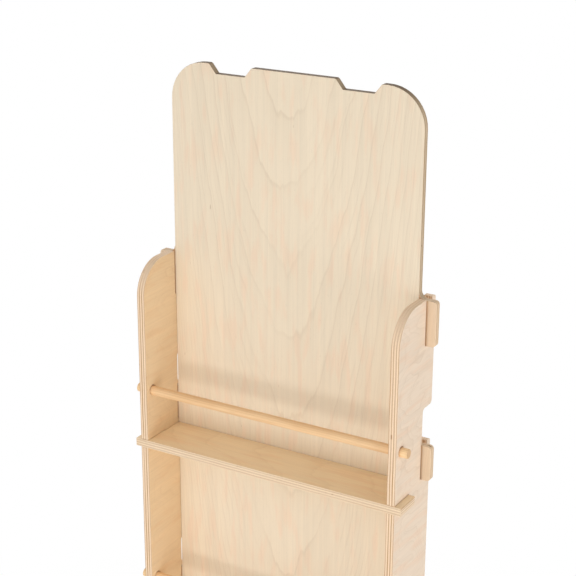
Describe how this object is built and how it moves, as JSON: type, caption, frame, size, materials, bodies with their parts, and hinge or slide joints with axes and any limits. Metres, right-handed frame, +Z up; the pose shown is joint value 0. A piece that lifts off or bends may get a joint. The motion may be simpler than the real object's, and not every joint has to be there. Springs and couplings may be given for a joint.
{
  "type": "card display stand",
  "caption": "Tall free-standing display stand of slot-together birch plywood: footed side panels, tabbed shelves, round retaining rails and a lift-out back panel with a notched header.",
  "frame": {"origin": "on the floor, in the middle of the stand's footprint", "axes": "+X to the right seen from the front, +Y to the back, +Z up"},
  "size_m": [0.329, 0.319, 1.208],
  "materials": {
    "birch_ply": "satin",
    "birch_rod": "satin"
  },
  "bodies": {
    "side_panels": {"left_side_panel": "birch_ply", "right_side_panel": "birch_ply"},
    "back_panel": {"back_panel": "birch_ply"},
    "shelf_1": {"shelf_1": "birch_ply"},
    "rail_1": {"rail_1": "birch_rod"},
    "shelf_2": {"shelf_2": "birch_ply"},
    "rail_2": {"rail_2": "birch_rod"},
    "shelf_3": {"shelf_3": "birch_ply"},
    "rail_3": {"rail_3": "birch_rod"},
    "shelf_4": {"shelf_4": "birch_ply"},
    "rail_4": {"rail_4": "birch_rod"}
  },
  "joints": [
    {"name": "back_panel_lift", "type": "slide", "parent": "side_panels", "child": "back_panel", "axis": [0, 0.0801, 0.9968], "range_m": [0, 0.0399]},
    {"name": "shelf_1_slide", "type": "slide", "parent": "side_panels", "child": "shelf_1", "axis": [0, -1, 0], "range_m": [0, 0.06]},
    {"name": "rail_1_slide", "type": "slide", "parent": "side_panels", "child": "rail_1", "axis": [1, 0, 0], "range_m": [0, 0.3185]},
    {"name": "shelf_2_slide", "type": "slide", "parent": "side_panels", "child": "shelf_2", "axis": [0, -1, 0], "range_m": [0, 0.06]},
    {"name": "rail_2_slide", "type": "slide", "parent": "side_panels", "child": "rail_2", "axis": [1, 0, 0], "range_m": [0, 0.3185]},
    {"name": "shelf_3_slide", "type": "slide", "parent": "side_panels", "child": "shelf_3", "axis": [0, -1, 0], "range_m": [0, 0.06]},
    {"name": "rail_3_slide", "type": "slide", "parent": "side_panels", "child": "rail_3", "axis": [1, 0, 0], "range_m": [0, 0.3185]},
    {"name": "shelf_4_slide", "type": "slide", "parent": "side_panels", "child": "shelf_4", "axis": [0, -1, 0], "range_m": [0, 0.06]},
    {"name": "rail_4_slide", "type": "slide", "parent": "side_panels", "child": "rail_4", "axis": [1, 0, 0], "range_m": [0, 0.3185]}
  ]
}
